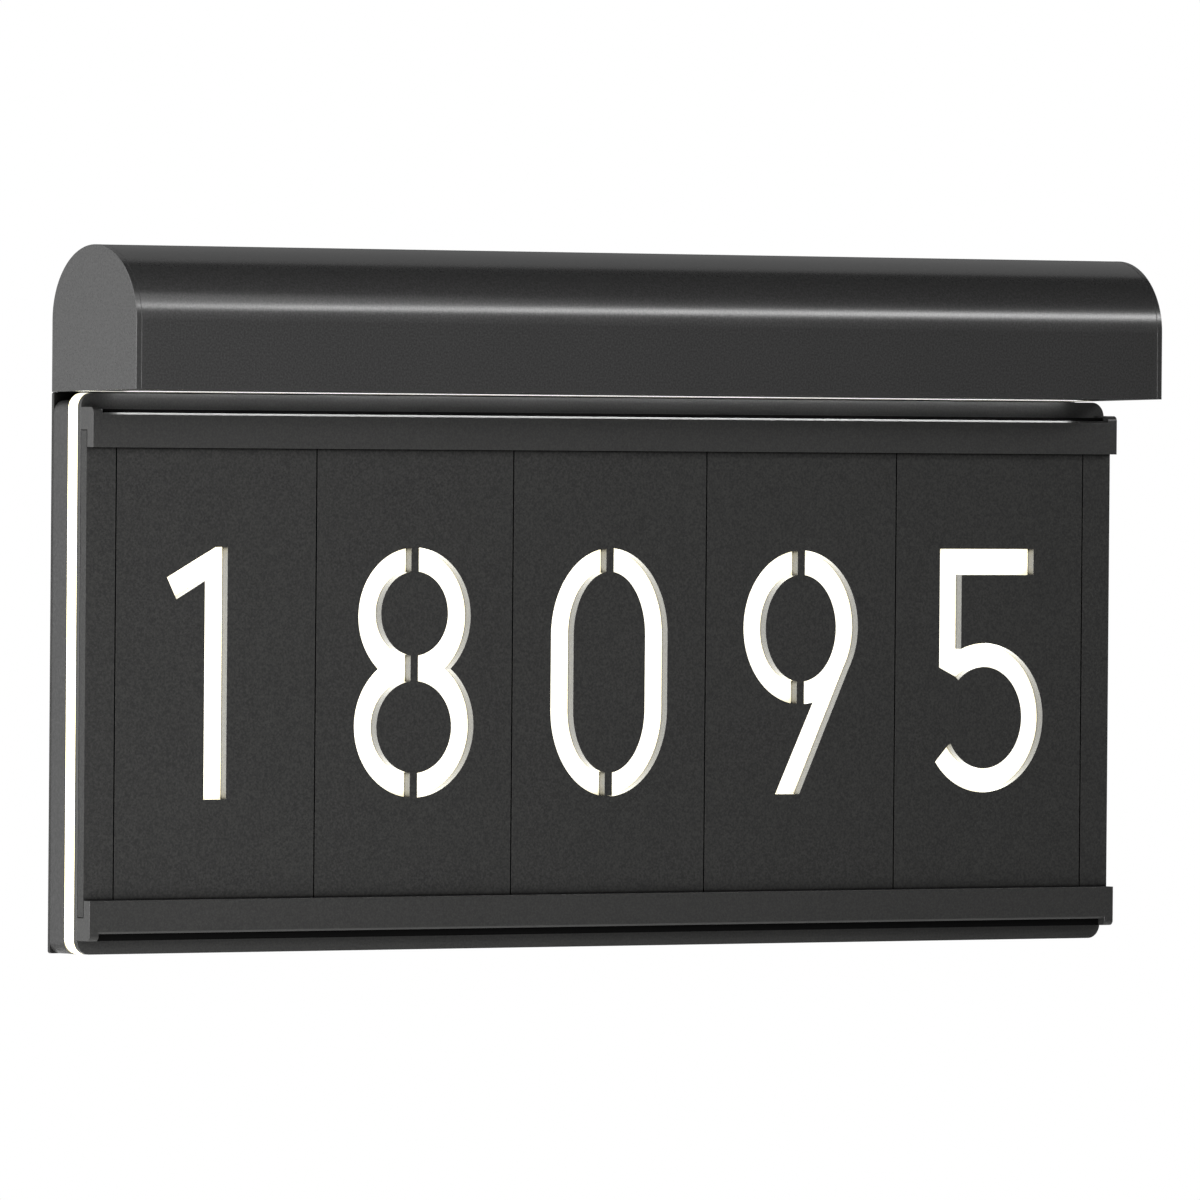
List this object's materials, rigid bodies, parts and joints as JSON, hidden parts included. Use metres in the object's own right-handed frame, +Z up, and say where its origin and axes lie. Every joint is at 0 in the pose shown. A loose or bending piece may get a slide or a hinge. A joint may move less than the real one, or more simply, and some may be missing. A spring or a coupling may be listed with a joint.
{
  "type": "illuminated house number sign",
  "caption": "Wall-mounted lit house number sign: a half-round hood over a flat panel with a glowing edge, and stencilled number tiles that slide in two rails.",
  "frame": {"origin": "centre of the wall fixing pattern, on the wall plane", "axes": "+Z up, -Y out of the wall towards the reader, +X to the reader's right"},
  "size_m": [0.518, 0.06, 0.2841],
  "materials": {
    "black_powder_coat": "fine-textured satin black powder coat",
    "cast_black_housing": "satin black powder coat on cast aluminium",
    "opal_acrylic": "opal acrylic, glowing warm white",
    "black_rubber": "matt black rubber",
    "galvanised_steel": "plain zinc-plated steel",
    "screw_steel": "stainless steel",
    "board_aluminium": "white solder mask on aluminium board",
    "white_reflector": "white matt polyester sheet",
    "led_phosphor": "yellow phosphor, lit",
    "white_connector": "moulded nylon",
    "driver_case": "moulded light grey case",
    "lead_sheath": "black PVC sheath",
    "painted_screw": "black painted screw"
  },
  "bodies": {
    "sign": {"wall_plate": "black_powder_coat", "back_housing": "cast_black_housing", "housing_gasket": "black_rubber", "housing_screws": "screw_steel", "led_boards": "board_aluminium", "led_chips": "led_phosphor", "board_connectors": "white_connector", "board_jumpers": "lead_sheath", "reflector_sheet": "white_reflector", "diffuser_panel": "opal_acrylic", "number_window": "opal_acrylic", "front_frame": "black_powder_coat", "frame_screws": "painted_screw", "top_rail": "black_powder_coat", "bottom_rail": "black_powder_coat", "rail_screws": "screw_steel", "top_seal": "black_rubber", "bottom_seal": "black_rubber", "hood_shell": "black_powder_coat", "hood_end_cap_left": "black_powder_coat", "hood_end_cap_right": "black_powder_coat", "hood_base": "black_powder_coat", "downlight_lens": "opal_acrylic", "downlight_strip": "led_phosphor", "hood_bracket_left": "galvanised_steel", "hood_bracket_right": "galvanised_steel", "hood_screws": "painted_screw", "bracket_screws": "painted_screw", "led_driver": "driver_case", "driver_screws": "screw_steel", "terminal_block": "white_connector", "supply_lead": "lead_sheath", "light_lead": "lead_sheath", "downlight_lead": "lead_sheath", "cable_grommet": "black_rubber", "lead_bush": "black_rubber"},
    "left_filler": {"left_filler": "black_powder_coat"},
    "tile_1": {"number_tile_1": "black_powder_coat"},
    "tile_2": {"number_tile_2": "black_powder_coat"},
    "tile_3": {"number_tile_3": "black_powder_coat"},
    "tile_4": {"number_tile_4": "black_powder_coat"},
    "tile_5": {"number_tile_5": "black_powder_coat"},
    "right_filler": {"right_filler": "black_powder_coat"}
  },
  "joints": [
    {"name": "left_filler_slide", "type": "slide", "parent": "sign", "child": "left_filler", "axis": [1, 0, 0], "range_m": [0, 0.1122]},
    {"name": "tile_1_slide", "type": "slide", "parent": "sign", "child": "tile_1", "axis": [1, 0, 0], "range_m": [0, 0.1122]},
    {"name": "tile_2_slide", "type": "slide", "parent": "sign", "child": "tile_2", "axis": [1, 0, 0], "range_m": [0, 0.1122]},
    {"name": "tile_3_slide", "type": "slide", "parent": "sign", "child": "tile_3", "axis": [1, 0, 0], "range_m": [0, 0.1122]},
    {"name": "tile_4_slide", "type": "slide", "parent": "sign", "child": "tile_4", "axis": [1, 0, 0], "range_m": [0, 0.1122]},
    {"name": "tile_5_slide", "type": "slide", "parent": "sign", "child": "tile_5", "axis": [1, 0, 0], "range_m": [0, 0.1122]},
    {"name": "right_filler_slide", "type": "slide", "parent": "sign", "child": "right_filler", "axis": [1, 0, 0], "range_m": [0, 0.1122]}
  ],
  "couplings": [
    {"joint": "left_filler_slide", "follows": "tile_3_slide", "ratio": 1},
    {"joint": "tile_1_slide", "follows": "tile_3_slide", "ratio": 1},
    {"joint": "tile_2_slide", "follows": "tile_3_slide", "ratio": 1},
    {"joint": "tile_4_slide", "follows": "tile_3_slide", "ratio": 1},
    {"joint": "tile_5_slide", "follows": "tile_3_slide", "ratio": 1},
    {"joint": "right_filler_slide", "follows": "tile_3_slide", "ratio": 1}
  ]
}
